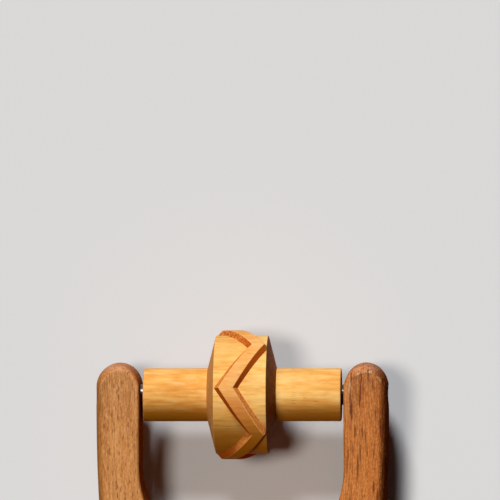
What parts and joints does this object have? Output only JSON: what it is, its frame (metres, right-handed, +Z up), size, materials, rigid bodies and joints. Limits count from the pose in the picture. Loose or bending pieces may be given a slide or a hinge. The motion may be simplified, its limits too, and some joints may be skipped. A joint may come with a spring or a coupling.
{
  "type": "clay texture roller",
  "caption": "Hand roller for printing a raised zigzag into soft clay: a carved turned wooden roller spins on steel pins in a one-piece wooden fork with a grip.",
  "frame": {"origin": "on the ground that the part stands on, in the middle of its length and width", "axes": "+X along the roller's axle, to the right in the picture; +Y from the grip to the roller; +Z up"},
  "size_m": [0.1134, 0.1848, 0.05],
  "materials": {
    "yoke_wood": "oiled beech, sanded, with short dark pores along the grain",
    "roller_wood": "oiled close-grained hardwood, turned and carved",
    "pin_steel": "polished steel",
    "bush_bronze": "plain sintered bronze"
  },
  "bodies": {
    "handle": {"handle_yoke": "yoke_wood", "left_axle_pin": "pin_steel", "right_axle_pin": "pin_steel"},
    "roller": {"texture_roller": "roller_wood", "left_hub_bush": "bush_bronze", "right_hub_bush": "bush_bronze"}
  },
  "joints": [
    {"name": "roller_spin", "type": "hinge", "parent": "handle", "child": "roller", "pos_m": [0, 0.06741, 0.025], "axis": [1, 0, 0], "continuous": true}
  ]
}
